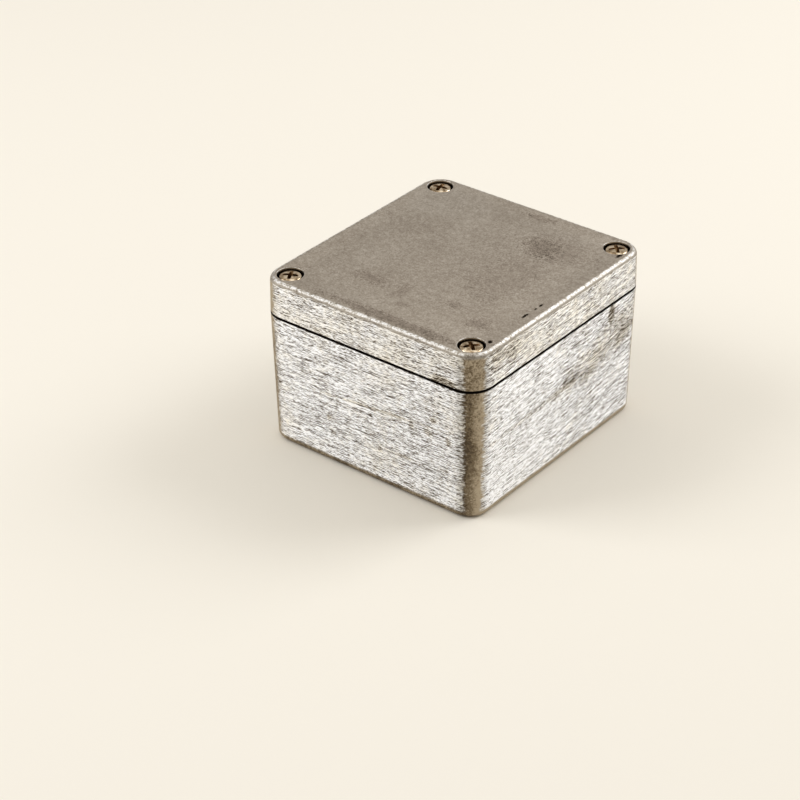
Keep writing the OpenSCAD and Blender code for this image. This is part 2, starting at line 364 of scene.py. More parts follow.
@dataclass
class Piece:
    """A closed piece: the patches that enclose it, its finishes and what it stands for."""

    name: str
    node: str
    body: str
    slot: str

    def patches(self) -> list[Patch]:
        """Every patch of the piece's closed surface."""
        raise NotImplementedError

    def build(self, finishes: list[bpy.types.Material]) -> bpy.types.Object:
        """Joins the patches into one closed mesh, dresses it and hands it to its body.

        Args:
            finishes: materials in the order of the patches' finish numbers.

        Returns:
            The finished object, at the origin.
        """
        patches = self.patches()
        starts = np.cumsum([0] + [len(p.points) for p in patches[:-1]])
        points = np.vstack([p.points for p in patches]) * MM
        faces = [
            [int(start) + i for i in face]
            for start, p in zip(starts, patches)
            for face in p.faces
        ]
        mesh = bpy.data.meshes.new(self.name)
        mesh.from_pydata(points.tolist(), [], faces)
        counts = [len(p.faces) for p in patches]
        mesh.polygons.foreach_set("material_index", np.repeat([p.finish for p in patches], counts))
        mesh.polygons.foreach_set("use_smooth", np.repeat([p.smooth for p in patches], counts))
        for finish in finishes:
            mesh.materials.append(finish)
        self.close(mesh)
        piece = bpy.data.objects.new(self.name, mesh)
        bpy.context.scene.collection.objects.link(piece)
        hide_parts(self.node)
        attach(piece, self.body)
        triangles = sum(len(p.vertices) - 2 for p in mesh.polygons)
        log.info("%s: %d triangles, stands for %s", self.name, triangles, self.node)
        return piece

    def close(self, mesh: bpy.types.Mesh) -> None:
        """Merges the patches' shared edges, turns every face outwards and checks for gaps.

        Args:
            mesh: the piece's mesh, which is changed in place.
        """
        shell = bmesh.new()
        shell.from_mesh(mesh)
        bmesh.ops.remove_doubles(shell, verts=shell.verts, dist=MERGE)
        bmesh.ops.dissolve_degenerate(shell, edges=shell.edges, dist=MERGE / 10)
        bmesh.ops.recalc_face_normals(shell, faces=shell.faces)
        gaps = sum(not edge.is_manifold for edge in shell.edges)
        volume = shell.calc_volume(signed=True)
        shell.to_mesh(mesh)
        shell.free()
        if gaps or volume <= 0:
            raise ValueError(f"{self.name} isn't closed: {gaps} open edges, volume {volume:g}")
        mesh.set_sharp_from_angle(angle=CREASE)
        mesh.update()


@dataclass(frozen=True)
class BoxForm:
    """The plan outlines and heights that both castings share, in millimetres."""

    half_x: float = 37.5
    half_y: float = 40.0
    height: float = 52.0
    seat_z: float = 41.2
    rim_z: float = 40.8
    floor_z: float = 3.0
    plate_z: float = 49.0
    corner_r: float = 7.2
    arm_long: Place = (25.9, 37.2)  # half the cross's arm along Y: its width and length
    arm_wide: Place = (34.7, 20.4)  # and the arm along X: its length and width
    bend_out_r: float = 4.0
    bend_in_r: float = 3.0
    rim_run: float = 0.7  # flat run just inside each rim's outer edge
    edge_break: float = 0.14  # tumbled edges of both rims
    countersink: float = 0.15
    screw: Place = (31.25, 33.75)
    fixing: Place = (31.5, 26.0)
    pin_mark: Place = (13.0, 14.0)
    pin_mark_r: float = 3.0
    pin_mark_depth: float = 0.2

    def outline(self) -> Rail:
        """The box's plan: a rounded rectangle."""
        centre = (self.half_x - self.corner_r, self.half_y - self.corner_r)
        return mirrored_rail([corner(centre, self.corner_r, 0, 90, 20, 0.5)])

    def seal(self) -> Rail:
        """The seal's middle line: a cross whose arms run between the corner pillars.

        Returns:
            The closed rail.
        """
        out_r, in_r = self.bend_out_r, self.bend_in_r
        (narrow_x, long_y), (long_x, narrow_y) = self.arm_long, self.arm_wide
        turns = (
            ((long_x - out_r, narrow_y - out_r), out_r, 0, 90),
            ((narrow_x + in_r, narrow_y + in_r), in_r, 270, 180),
            ((narrow_x - out_r, long_y - out_r), out_r, 0, 90),
        )
        return mirrored_rail([corner(*turn, steps=12, run=0.4) for turn in turns])

    def corners(self, place: Place) -> list[Place]:
        """A place and its mirror images in the four quadrants."""
        return [(sx * place[0], sy * place[1]) for sx in (-1, 1) for sy in (-1, 1)]

    def rings(self, place: Place, radius: float) -> list[Array]:
        """A hole's ring at a place in all four quadrants."""
        return [circle(c, radius) for c in self.corners(place)]

    def pin_marks(self, height: float, depth: float, finish: int) -> list[Patch]:
        """The shallow discs that ejector pins leave in a flat face.

        Args:
            height: z of the face.
            depth: of the discs, negative where they go down.
            finish: number of the finish in its piece's list.

        Returns:
            Four patches.
        """
        radius = np.array([1.0, 0.985, 0.965, 0.95, 0.9, 0.5, 0.0]) * self.pin_mark_r
        level = height + depth * np.array([0.0, 0.15, 0.85, 1.0, 1.0, 0.95, 0.93])
        return [turned(c, radius, level, finish) for c in self.corners(self.pin_mark)]


class CastingFinish(IntEnum):
    """The finishes of a casting, by their place in its list of materials."""

    SKIN = 0
    MILLED = 1
    INSIDE = 2
    BORE = 3
    RECESS = 4


@dataclass
class BaseCasting(Piece):
    """The base: drafted sides, a milled rim with its tongue, corner pillars and board bosses."""

    form: BoxForm = BoxForm()
    side: Draft = Draft(0.0, 40.8, 1.4)
    wall: Draft = Draft(-0.75, 42.8, 0.8)  # from the tongue's top edge down to the floor
    bottom_r: float = 1.8
    floor_fillet_r: float = 1.6
    tongue_edge_r: float = 0.25
    tongue_foot_r: float = 0.3
    seat_r: float = 3.7
    seat_edge_r: float = 0.08
    mouth_r: float = 2.35
    mouth_depth: float = 1.0
    tapped_bottom_z: float = 30.2
    tapped_end: Place = (1.3, 0.9)  # where thread and bore end, over the hole's pointed bottom
    tap: Thread = Thread(minor=1.65, depth=0.38, pitch=0.7)
    pocket_r: float = 3.75
    pocket_z: float = 6.0
    pocket_foot_r: float = 0.3
    pocket_ring_z: float = 24.0  # one more row half way down, which keeps the faces short
    soft: float = 0.12  # softened edges of the pockets and the holes under them
    fixing_r: float = 2.25
    fixing_chamfer: float = 0.4
    boss: Place = (18.0, 30.0)
    boss_z: float = 8.0
    boss_r: float = 3.2
    boss_foot_r: float = 3.331
    boss_edge_r: float = 0.2
    boss_fillet_r: float = 0.8
    boss_tap: Thread = Thread(minor=1.25, depth=0.24, pitch=0.5)
    boss_hole_z: float = 2.5
    boss_end: Place = (1.4, 0.7)  # the same as tapped_end, in a boss

    def outside(self) -> Patch:
        """Bottom fillet, drafted side and broken rim edge, carried round the outline.

        Returns:
            The patch.
        """
        f, e, t = self.form, self.form.edge_break, quarter_angles(12)
        shape = profile(
            self.side.fillet(0.0, self.bottom_r, np.cos(t), np.sin(t)),
            self.side.rows(self.bottom_r + 0.4, f.rim_z - e, 9),
            bend((-e, f.rim_z - e), e, 0, 90, 4)[1:],
            (-f.rim_run, f.rim_z),
        )
        return f.outline().sweep(shape, CastingFinish.SKIN)

    def cavity(self) -> list[Patch]:
        """The tongue, then the drafted wall down to the floor's fillet, along the seal.

        Returns:
            The tongue and the wall.
        """
        f, half, top = self.form, -self.wall.start, self.wall.from_z
        r, foot, t = self.tongue_edge_r, self.tongue_foot_r, quarter_angles(8)[::-1]
        tongue = profile(
            bend((half + foot, f.rim_z + foot), foot, 270, 180, 4),
            bend((half - r, top - r), r, 0, 90, 4),
            bend((r - half, top - r), r, 90, 180, 4),
        )
        wall = profile(
            tongue[-1],
            self.wall.rows(top - r - 0.5, f.floor_z + self.floor_fillet_r + 0.3, 8),
            self.wall.fillet(f.floor_z, self.floor_fillet_r, np.cos(t), np.sin(t)),
        )
        seal = f.seal()
        return [seal.sweep(tongue, CastingFinish.MILLED), seal.sweep(wall, CastingFinish.INSIDE)]

    def tapped_seat(self, place: Place) -> list[Patch]:
        """A raised seat with its tapped hole: a plain mouth, a threaded stretch and a drill tip.

        Args:
            place: where the hole's axis stands.

        Returns:
            The seat and the hole.
        """
        f, e, low = self.form, self.seat_edge_r, self.tapped_bottom_z
        mouth_z = f.seat_z - self.mouth_depth
        seat = profile(
            (self.seat_r, f.rim_z),
            bend((self.seat_r - e, f.seat_z - e), e, 0, 90, 2),
            (self.mouth_r + f.countersink, f.seat_z),
            (self.mouth_r, f.seat_z - f.countersink),
            (self.mouth_r, mouth_z),
        )
        thread_end, bore_end = self.tapped_end
        tip = profile((self.tap.minor, low + bore_end), (0.0, low))
        bore = self.tap.bore(self.mouth_r, mouth_z, low + thread_end, tip, blind=True)
        return [
            turned(place, *seat.T, CastingFinish.MILLED),
            turned(place, *bore, CastingFinish.BORE),
        ]

    def fixing_pocket(self, place: Place) -> Patch:
        """A deep pocket for a fixing screw's head, over a hole through the bottom.

        Args:
            place: where the hole's axis stands.

        Returns:
            The pocket and the hole in one patch.
        """
        r, z, foot = self.pocket_r, self.pocket_z, self.pocket_foot_r
        shape = profile(
            (r + self.soft, self.form.rim_z),
            (r, self.form.rim_z - self.soft),
            (r, self.pocket_ring_z),
            bend((r - foot, z + foot), foot, 0, -90, 3),
            (self.fixing_r + self.soft, z),
            (self.fixing_r, z - self.soft),
            (self.fixing_r, self.fixing_chamfer),
            (self.fixing_r + self.fixing_chamfer, 0.0),
        )
        return turned(place, *shape.T, CastingFinish.BORE)

    def board_boss(self, place: Place) -> list[Patch]:
        """A drafted boss on the floor, filleted at its foot, with a tapped hole.

        Args:
            place: where the boss's axis stands.

        Returns:
            The boss's side, its face and its hole.
        """
        f, r, e, tap = self.form, self.boss_fillet_r, self.boss_edge_r, self.boss_tap
        top, low = self.boss_z, self.boss_hole_z
        body = profile(
            bend((self.boss_foot_r + r, f.floor_z + r), r, 270, 180, 6),
            bend((self.boss_r - e, top - e), e, 0, 90, 3),
        )
        face = profile(
            body[-1], (tap.mouth() + f.countersink, top), (tap.mouth(), top - f.countersink)
        )
        thread_end, bore_end = self.boss_end
        tip = profile((tap.minor, low + bore_end), (0.0, low))
        bore = tap.bore(tap.mouth(), top - f.countersink, low + thread_end, tip, blind=True)
        return [
            turned(place, *body.T, CastingFinish.INSIDE),
            turned(place, *face.T, CastingFinish.MILLED),
            turned(place, *bore, CastingFinish.BORE),
        ]

    def patches(self) -> list[Patch]:
        """Outside, bottom, rim, tongue and cavity, floor, and what stands or opens in them.

        Returns:
            Patches that close the piece.
        """
        f, box, seal = self.form, self.form.outline(), self.form.seal()
        rim_holes = [
            seal.ring(self.tongue_foot_r - self.wall.start),
            *f.rings(f.screw, self.seat_r),
            *f.rings(f.fixing, self.pocket_r + self.soft),
        ]
        floor_holes = [
            *f.rings(self.boss, self.boss_foot_r + self.boss_fillet_r),
            *f.rings(f.pin_mark, f.pin_mark_r),
        ]
        return [
            self.outside(),
            flat(
                0.0,
                box.ring(self.side.foot(0.0, self.bottom_r)),
                f.rings(f.fixing, self.fixing_r + self.fixing_chamfer),
                CastingFinish.SKIN,
            ),
            flat(f.rim_z, box.ring(-f.rim_run), rim_holes, CastingFinish.MILLED),
            *self.cavity(),
            flat(
                f.floor_z,
                seal.ring(self.wall.foot(f.floor_z, self.floor_fillet_r)),
                floor_holes,
                CastingFinish.INSIDE,
            ),
            *f.pin_marks(f.floor_z, -f.pin_mark_depth, CastingFinish.INSIDE),
            *(patch for c in f.corners(f.screw) for patch in self.tapped_seat(c)),
            *(self.fixing_pocket(c) for c in f.corners(f.fixing)),
            *(patch for c in f.corners(self.boss) for patch in self.board_boss(c)),
        ]


@dataclass
class LidCasting(Piece):
    """The lid: drafted sides under a rounded top edge, screw recesses, groove and hollow."""

    form: BoxForm = BoxForm()
    side: Draft = Draft(0.0, 41.2, 1.1)
    wall: Draft = Draft(-2.7, 41.2, 0.8)  # the hollow's, from the inner lip up to the plate
    top_r: float = 1.5
    groove_half: float = 1.3
    groove_top_z: float = 44.9
    groove_r: float = 0.2
    lip_z: float = 41.5
    edge_r: float = 0.15
    plate_fillet_r: float = 0.9
    recess_r: float = 3.8
    recess_rim_r: float = 0.2
    recess_foot_r: float = 0.25
    head_seat_z: float = 49.1
    lid_thread_z: float = 46.6
    thread_out: Place = (0.45, 0.3)  # the step outwards below the thread, and its height
    plain_r: float = 2.3
    tap: Thread = Thread(minor=1.65, depth=0.38, pitch=0.7)
    core_r: float = 3.4
    core_top_z: float = 46.0
    core_soft: float = 0.1
    core_edge_r: float = 0.5
    core_draft: float = 0.05  # how much narrower the hollow is at its roof

    def outside(self) -> Patch:
        """Broken lower edge, drafted side and rounded top edge, carried round the outline.

        Returns:
            The patch.
        """
        f, e, t = self.form, self.form.edge_break, quarter_angles(14)
        shape = profile(
            (-f.rim_run, f.seat_z),
            bend((-e, f.seat_z + e), e, -90, 0, 4)[:-1],
            self.side.rows(f.seat_z + e, f.height - self.top_r - 0.4, 4),
            self.side.fillet(f.height, -self.top_r, np.sin(t), np.cos(t)),
        )
        return f.outline().sweep(shape, CastingFinish.SKIN)

    def hollow(self) -> list[Patch]:
        """The gasket's groove, the inner lip beside it, and the hollow up to the plate.

        Returns:
            The groove with its lip, and the wall.
        """
        f, half, e, r = self.form, self.groove_half, self.edge_r, self.groove_r
        top, t = self.groove_top_z, quarter_angles(6)
        groove = profile(
            (half + e, f.seat_z),
            (half, f.seat_z + e),
            bend((half - r, top - r), r, 0, 90, 3),
            bend((r - half, top - r), r, 90, 180, 3),
            (-half, self.lip_z + e),
            (-half - e, self.lip_z),
            (self.wall.start + e, self.lip_z),
        )
        wall = profile(
            groove[-1],
            self.wall.rows(self.lip_z + e, f.plate_z - self.plate_fillet_r - 0.2, 4),
            self.wall.fillet(f.plate_z, -self.plate_fillet_r, np.sin(t), np.cos(t)),
        )
        seal = f.seal()
        return [seal.sweep(groove, CastingFinish.MILLED), seal.sweep(wall, CastingFinish.INSIDE)]

    def screw_way(self, place: Place) -> list[Patch]:
        """A soft-edged recess for a head, over a short threaded stretch and a plain hole.

        Args:
            place: where the screw's axis stands.

        Returns:
            The recess's rim, the recess and the hole.
        """
        f, r, foot, seat = self.form, self.recess_rim_r, self.recess_foot_r, self.head_seat_z
        mouth, wide = self.tap.mouth(), self.plain_r
        rim = bend((self.recess_r + r, f.height - r), r, 90, 135, 2)
        recess = profile(
            bend((self.recess_r + r, f.height - r), r, 135, 180, 2),
            bend((self.recess_r - foot, seat + foot), foot, 0, -90, 3),
            (mouth + f.countersink, seat),
            (mouth, seat - f.countersink),
        )
        plain = profile(
            (self.tap.minor + self.thread_out[0], self.lid_thread_z),
            (wide, self.lid_thread_z),
            (wide, f.seat_z + self.edge_r),
            (wide + self.edge_r, f.seat_z),
        )
        end_z = self.lid_thread_z + self.thread_out[1]
        bore = self.tap.bore(mouth, seat - f.countersink, end_z, plain, blind=False)
        return [
            turned(place, *rim.T, CastingFinish.SKIN),
            turned(place, *recess.T, CastingFinish.RECESS),
            turned(place, *bore, CastingFinish.BORE),
        ]

    def core_hollow(self, place: Place) -> Patch:
        """The cored hollow above a fixing pocket, closed by a soft-edged roof.

        Args:
            place: where its axis stands.

        Returns:
            The patch.
        """
        top, r, soft, edge = self.core_top_z, self.core_r, self.core_soft, self.core_edge_r
        shape = profile(
            (r + soft, self.form.seat_z),
            (r, self.form.seat_z + soft),
            bend((r - self.core_draft - edge, top - edge), edge, 0, 90, 4),
            (r / 2, top),
            (0.0, top),
        )
        return turned(place, *shape.T, CastingFinish.INSIDE)

    def patches(self) -> list[Patch]:
        """Outside, top, seat face, groove and hollow, plate, and the holes in them.

        Returns:
            Patches that close the piece.
        """
        f, box, seal = self.form, self.form.outline(), self.form.seal()
        seat_holes = [
            seal.ring(self.groove_half + self.edge_r),
            *f.rings(f.screw, self.plain_r + self.edge_r),
            *f.rings(f.fixing, self.core_r + self.core_soft),
        ]
        return [
            self.outside(),
            flat(
                f.height,
                box.ring(self.side.foot(f.height, self.top_r)),
                f.rings(f.screw, self.recess_r + self.recess_rim_r),
                CastingFinish.SKIN,
            ),
            flat(f.seat_z, box.ring(-f.rim_run), seat_holes, CastingFinish.MILLED),
            *self.hollow(),
            flat(
                f.plate_z,
                seal.ring(self.wall.foot(f.plate_z, self.plate_fillet_r)),
                f.rings(f.pin_mark, f.pin_mark_r),
                CastingFinish.INSIDE,
            ),
            *f.pin_marks(f.plate_z, f.pin_mark_depth, CastingFinish.INSIDE),
            *(patch for c in f.corners(f.screw) for patch in self.screw_way(c)),
            *(self.core_hollow(c) for c in f.corners(f.fixing)),
        ]


@dataclass
class LidGasket(Piece):
    """The moulded ring in the lid's groove, squeezed a little round the tongue's top."""

    form: BoxForm = BoxForm()
    half: float = 1.25
    low_z: float = 42.8
    top_z: float = 44.9
    edge_r: float = 0.3
    bulge: float = 0.1
    tongue_half: float = 0.75
    gap: float = 0.05  # between the tongue's side and the bulge beside it
    bulge_end: float = 0.15  # rise from the bulge's foot to the ring's straight side

    def patches(self) -> list[Patch]:
        """One closed profile along the seal: rounded edges, and a print where the tongue bears.

        Returns:
            Patches that close the piece.
        """
        half, r, low, top = self.half, self.edge_r, self.low_z, self.top_z
        ease = np.radians(np.linspace(0, 180, 7))
        width = half - 2 * self.gap - self.tongue_half
        side_d = self.tongue_half + self.gap + width * ease / np.pi
        lobe = np.column_stack([side_d, low - self.bulge * np.sin(ease)])
        shape = profile(
            lobe,
            (half, low + self.bulge_end),
            bend((half - r, top - r), r, 0, 90, 4),
            bend((r - half, top - r), r, 90, 180, 4),
            (-half, low + self.bulge_end),
            lobe[::-1] * (-1, 1),
            lobe[0],
        )
        return [self.form.seal().sweep(shape, 0)]


@dataclass
class LidScrew(Piece):
    """A captive stainless screw: domed head with a cross recess, thin waist, short thread."""

    place: Place = (0.0, 0.0)
    turn: float = 45.0
    seat_z: float = 49.1
    head_r: float = 3.3
    head_h: float = 2.8
    edge_r: float = 0.7
    crown_r: float = 11.0
    recess: Place = (4.2, 1.0)  # across the cross's wings, and their width
    recess_tip: Place = (1.5, 0.7)  # and the same at its bottom
    recess_depth: float = 1.9
    rim: float = 0.16  # width of the recess's rounded rim
    rim_drop: float = 0.1  # its lower end, under the crown
    tip_dip: float = 0.12  # the recess's pointed middle, under its bottom
    low_edge_r: float = 0.12  # the head's lower edge
    waist_ease: float = 0.15  # from the head into the waist
    run_in: float = 0.2  # from the waist into the thread
    waist_r: float = 1.45
    length: float = 15.0
    thread_len: float = 6.0
    thread: Thread = Thread(minor=1.6, depth=0.38, pitch=0.7)
    steps: int = 120

    def cross(self, span: float, wing: float) -> Array:
        """Radius of a cross-shaped outline at each column.

        With the angle measured from the nearest wing's axis, the wing's side lies at half its
        width over the sine and its end at half the span over the cosine; a high power mean of
        the two keeps the nearer one and rounds the corners between them.

        Args:
            span: across both wings' ends.
            wing: width of a wing.

        Returns:
            One radius a column.
        """
        angle = np.arange(self.steps) * (2 * np.pi / self.steps) - math.radians(self.turn)
        angle = (angle + np.pi / 4) % (np.pi / 2) - np.pi / 4
        side = wing / 2 / np.maximum(np.abs(np.sin(angle)), 1e-3)
        end = span / 2 / np.cos(angle)
        return (side**-10 + end**-10) ** -0.1

    def crown(self, radius: Array) -> Array:
        """Height of the domed crown: the sphere's height at that radius, over the head's seat."""
        return self.seat_z + self.head_h - self.crown_r + np.sqrt(self.crown_r**2 - radius**2)

    def socket(self) -> tuple[Array, Array]:
        """Radii and heights from the recess's bottom up its tapered walls to its rounded rim.

        Returns:
            Rows by columns of radii, and of heights.
        """
        share = np.linspace(1, 0, 7)[:, None]
        outer, inner = self.cross(*self.recess), self.cross(*self.recess_tip)
        radius = outer + (inner - outer) * share
        low = self.seat_z + self.head_h - self.recess_depth
        start = self.crown(outer) - self.rim_drop
        level = start + (low - start) * share
        rim = outer + np.array([[0.03], [0.09], [self.rim]])
        lift = np.array([[-0.035], [-0.008], [0.0]])
        pole = np.zeros((1, self.steps))
        return (
            np.vstack([pole, radius, rim]),
            np.vstack([pole + low - self.tip_dip, level, self.crown(rim) + lift]),
        )

    def head(self) -> tuple[Array, Array]:
        """Radii and heights over the crown, round its edge and down the side to the waist.

        Returns:
            Rows by columns of radii, and of heights.
        """
        rim = self.cross(*self.recess) + self.rim
        edge_x, reach = self.head_r - self.edge_r, self.crown_r - self.edge_r
        edge_z = self.seat_z + self.head_h - self.crown_r + math.sqrt(reach**2 - edge_x**2)
        tilt, low_r = math.degrees(math.acos(edge_x / reach)), self.low_edge_r
        share = np.linspace(0, 1, 9)[1:-1, None]
        over = rim + (edge_x * self.crown_r / reach - rim) * share
        side = profile(
            bend((edge_x, edge_z), self.edge_r, tilt, 0, 7),
            bend((self.head_r - low_r, self.seat_z + low_r), low_r, 0, -90, 3),
            (self.waist_r + self.waist_ease, self.seat_z),
            (self.waist_r, self.seat_z - self.waist_ease),
        )
        round_it, down = (
            np.broadcast_to(part[:, None], (len(side), self.steps)) for part in side.T
        )
        return np.vstack([over, round_it]), np.vstack([self.crown(over), down])

    def shank(self) -> tuple[Array, Array]:
        """Radii and heights of the waist, the thread with both its ends coned, and the tip.

        Returns:
            Rows by columns of radii, and of heights.
        """
        tip_z = self.seat_z - self.length
        top_z = tip_z + self.thread_len
        rows = self.thread.rows(top_z, tip_z, 10)
        envelope = self.waist_r + np.minimum(top_z - rows, rows - tip_z)
        ridge = self.thread.radius(rows, self.steps, np.ones(len(rows)))
        radius = np.minimum(ridge, envelope[:, None])
        waist, pole = np.full((1, self.steps), self.waist_r), np.zeros((1, self.steps))
        level = np.concatenate([[top_z + self.run_in], rows, [tip_z]])
        return (
            np.vstack([waist, radius, pole]), np.repeat(level[:, None], self.steps, axis=1)
        )

    def patches(self) -> list[Patch]:
        """The recess, the head and the shank, each from the last row of the one before it.

        Returns:
            Patches that close the piece.
        """
        made, last = [], []
        for finish, part in zip((1, 0, 0), (self.socket(), self.head(), self.shank())):
            radius, level = (np.vstack([*row, rows]) for row, rows in zip(last or ([], []), part))
            made.append(turned(self.place, radius, level, finish))
            last = ([radius[-1:]], [level[-1:]])
        return made


# ---------------------------------------------------------------- finishes


MAIN_CHOICE = {
    "Math": "operation",
    "VectorMath": "operation",
    "Mix": "data_type",
    "MapRange": "interpolation_type",
}


def colour(code: str) -> tuple[float, float, float, float]:
    """A hex sRGB colour as linear light: the standard curve, undone channel by channel.

    Args:
        code: a hash sign and six hex digits.

    Returns:
        Red, green, blue and a full alpha.
    """
    share = np.array([int(code[i : i + 2], 16) for i in (1, 3, 5)]) / 255
    low, high = share / 12.92, ((share + 0.055) / 1.055) ** 2.4
    return (*np.where(share <= 0.04045, low, high).tolist(), 1.0)


def add(
    tree: bpy.types.NodeTree,
    kind: str,
    *values: object,
    out: str = "",
    stops: Stops = (),
    named: dict[str, object] | None = None,
    **settings: object,
) -> Socket | None:
    """Adds a node, sets it up, and gives one of its outputs.

    Args:
        tree: the material's nodes.
        kind: the node's type without the leading "ShaderNode", and its main choice after it.
        values: for each live input in turn, a value, or the output that it is linked to.
        out: name of the output to give, where it isn't the first live one.
        stops: a colour ramp's places and hex colours.
        named: values or outputs for inputs by their names.
        settings: the node's own settings.

    Returns:
        The output socket, or nothing where the node has none.
    """
    kind, _, choice = kind.partition(" ")
    node = tree.nodes.new("ShaderNode" + kind)
    if choice:
        settings[MAIN_CHOICE[kind]] = choice
    for name, value in settings.items():
        setattr(node, name, value)
    for _ in stops[2:]:
        node.color_ramp.elements.new(1.0)
    for i, (place, code) in enumerate(stops):
        element = node.color_ramp.elements[i]
        element.position, element.color = place, colour(code)
    pairs = [*zip([socket for socket in node.inputs if socket.enabled], values)]
    pairs += [(node.inputs[name], value) for name, value in (named or {}).items()]
    for socket, value in pairs:
        if isinstance(value, Socket):
            tree.links.new(value, socket)
        else:
            socket.default_value = value
    return node.outputs[out] if out else next((s for s in node.outputs if s.enabled), None)


@dataclass(frozen=True)
class Mark:
    """A spot of staining or a pit at a place on the skin, or a painted sheen where its depth is
    negative: an ellipsoid in millimetres, and how deep it is.
    """

    centre: tuple[float, float, float]
    radii: tuple[float, float, float]
    depth: float
    tilt: tuple[float, float] = (0.0, 0.0)  # degrees about X and Y: how it climbs along a side


@dataclass(frozen=True)
class Finish:
    """A named finish that becomes one material."""

    name: str
    relief_mm: float = 0.02  # real depth of the relief

    def dress(self, node: Adder, place: Socket) -> Dressing:
        """The finish's own nodes.

        Args:
            node: adds a node to the material.
            place: place on the piece in millimetres.

        Returns:
            The shader's inputs, and the relief.
        """
        raise NotImplementedError

    def material(self) -> bpy.types.Material:
        """The material: the finish's own nodes, a bump of a real depth, and the shader.

        Returns:
            The material.
        """
        material = bpy.data.materials.new(self.name)
        material.use_nodes = True
        material.node_tree.nodes.clear()
        node = partial(add, material.node_tree)
        place = node("VectorMath SCALE", node("TexCoord", out="Object"), 1 / MM)
        inputs, relief = self.dress(node, place)
        depth = self.relief_mm * MM
        bump = node("Bump", named={"Height": relief, "Distance": depth, "Strength": 1.0})
        node("OutputMaterial", node("BsdfPrincipled", named={**inputs, "Normal": bump}))
        return material


